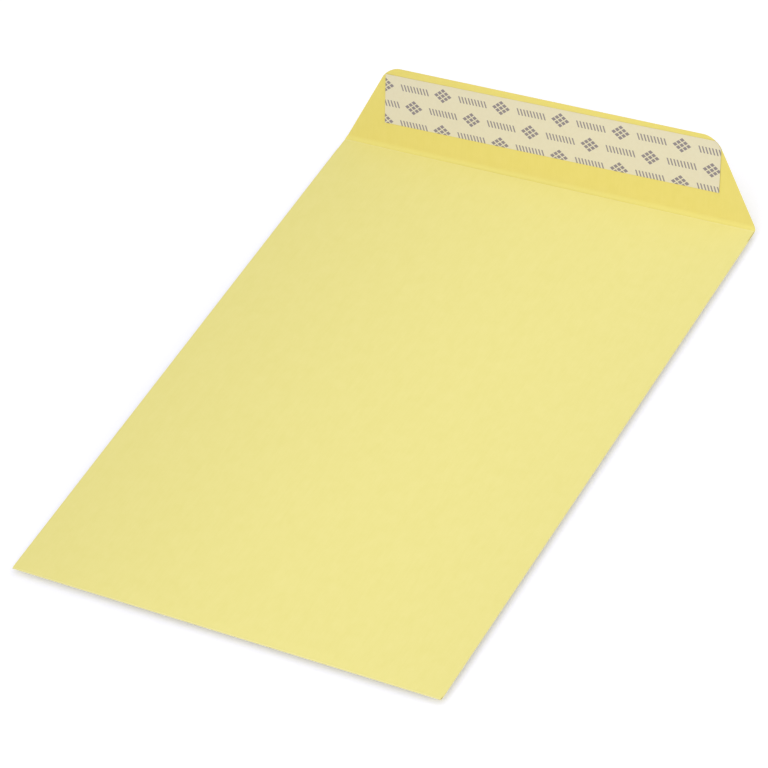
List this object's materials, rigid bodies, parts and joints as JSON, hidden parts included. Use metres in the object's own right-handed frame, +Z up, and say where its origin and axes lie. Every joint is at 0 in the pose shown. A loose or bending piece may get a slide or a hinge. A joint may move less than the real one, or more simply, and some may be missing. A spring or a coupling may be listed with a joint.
{
  "type": "self-seal envelope",
  "caption": "Flat yellow paper pocket envelope with a raised tapered seal flap on a short side, its adhesive band covered by a peel-off release strip.",
  "frame": {"origin": "middle of the address face, the panel whose middle lies on the table", "axes": "+X across the pocket, +Y along it towards the seal flap, +Z up through the back panel"},
  "size_m": [0.229, 0.3229, 0.0405],
  "materials": {
    "yellow_paper": "matte",
    "seal_gum": "satin",
    "release_paper": "satin"
  },
  "bodies": {
    "root": {"envelope": "yellow_paper", "seal_adhesive": "seal_gum", "release_liner": "release_paper"}
  },
  "joints": []
}
